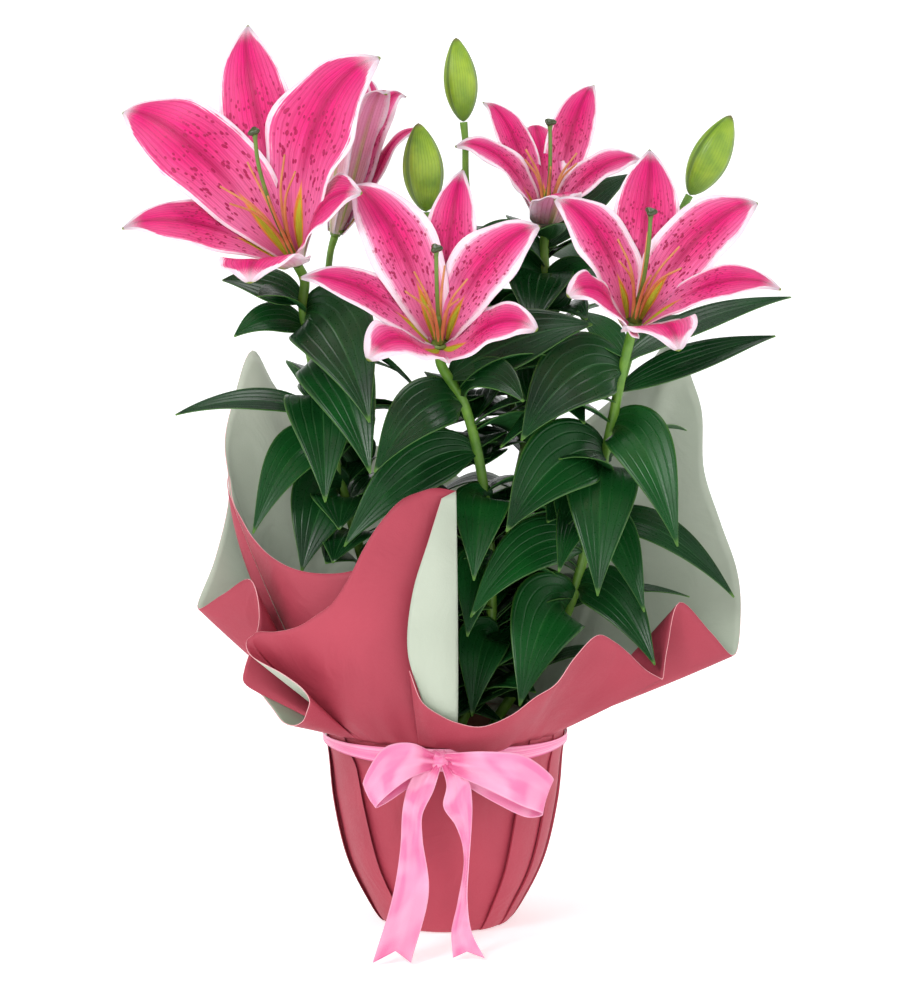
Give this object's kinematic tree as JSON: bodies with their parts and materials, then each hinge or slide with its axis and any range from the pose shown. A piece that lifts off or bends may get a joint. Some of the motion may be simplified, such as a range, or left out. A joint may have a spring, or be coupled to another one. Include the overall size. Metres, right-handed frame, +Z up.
{
  "type": "potted lily",
  "caption": "Flowering pink lily plant in a pot, gift-wrapped in a folded paper collar with a satin ribbon and bow, for display on a flat surface.",
  "frame": {"origin": "middle of the wrapped pot's flat floor, on the surface it stands on", "axes": "+Z up, -Y towards the front with the bow, +X to the right seen from the front"},
  "size_m": [0.4325, 0.2638, 0.5846],
  "materials": {
    "wrap_paper": "matte rose outside, sage green inside",
    "ribbon_satin": "satin",
    "pot_plastic": "matte terracotta brown",
    "potting_soil": "crumbly, moist peat",
    "bulb_scales": "waxy cream scales",
    "foliage": "waxy, with lengthwise veins",
    "tepals": "velvety, spotted, with pale edges",
    "stamens": "smooth green and peach",
    "bud_green": "waxy yellow-green"
  },
  "bodies": {
    "root": {"paper_wrap": "wrap_paper", "ribbon": "ribbon_satin", "pot": "pot_plastic", "soil": "potting_soil", "bulb_left": "bulb_scales", "bulb_centre": "bulb_scales", "bulb_right": "bulb_scales", "bulb_back": "bulb_scales", "leafy_stem_left": "foliage", "leafy_stem_centre": "foliage", "leafy_stem_right": "foliage", "leafy_stem_back": "foliage", "flower_left_tepals": "tepals", "flower_centre_tepals": "tepals", "flower_right_tepals": "tepals", "flower_back_tepals": "tepals", "flower_half_open_tepals": "tepals", "flower_left_stamens": "stamens", "flower_centre_stamens": "stamens", "flower_right_stamens": "stamens", "flower_back_stamens": "stamens", "bud_centre": "bud_green", "bud_back": "bud_green", "bud_right": "bud_green"}
  },
  "joints": []
}
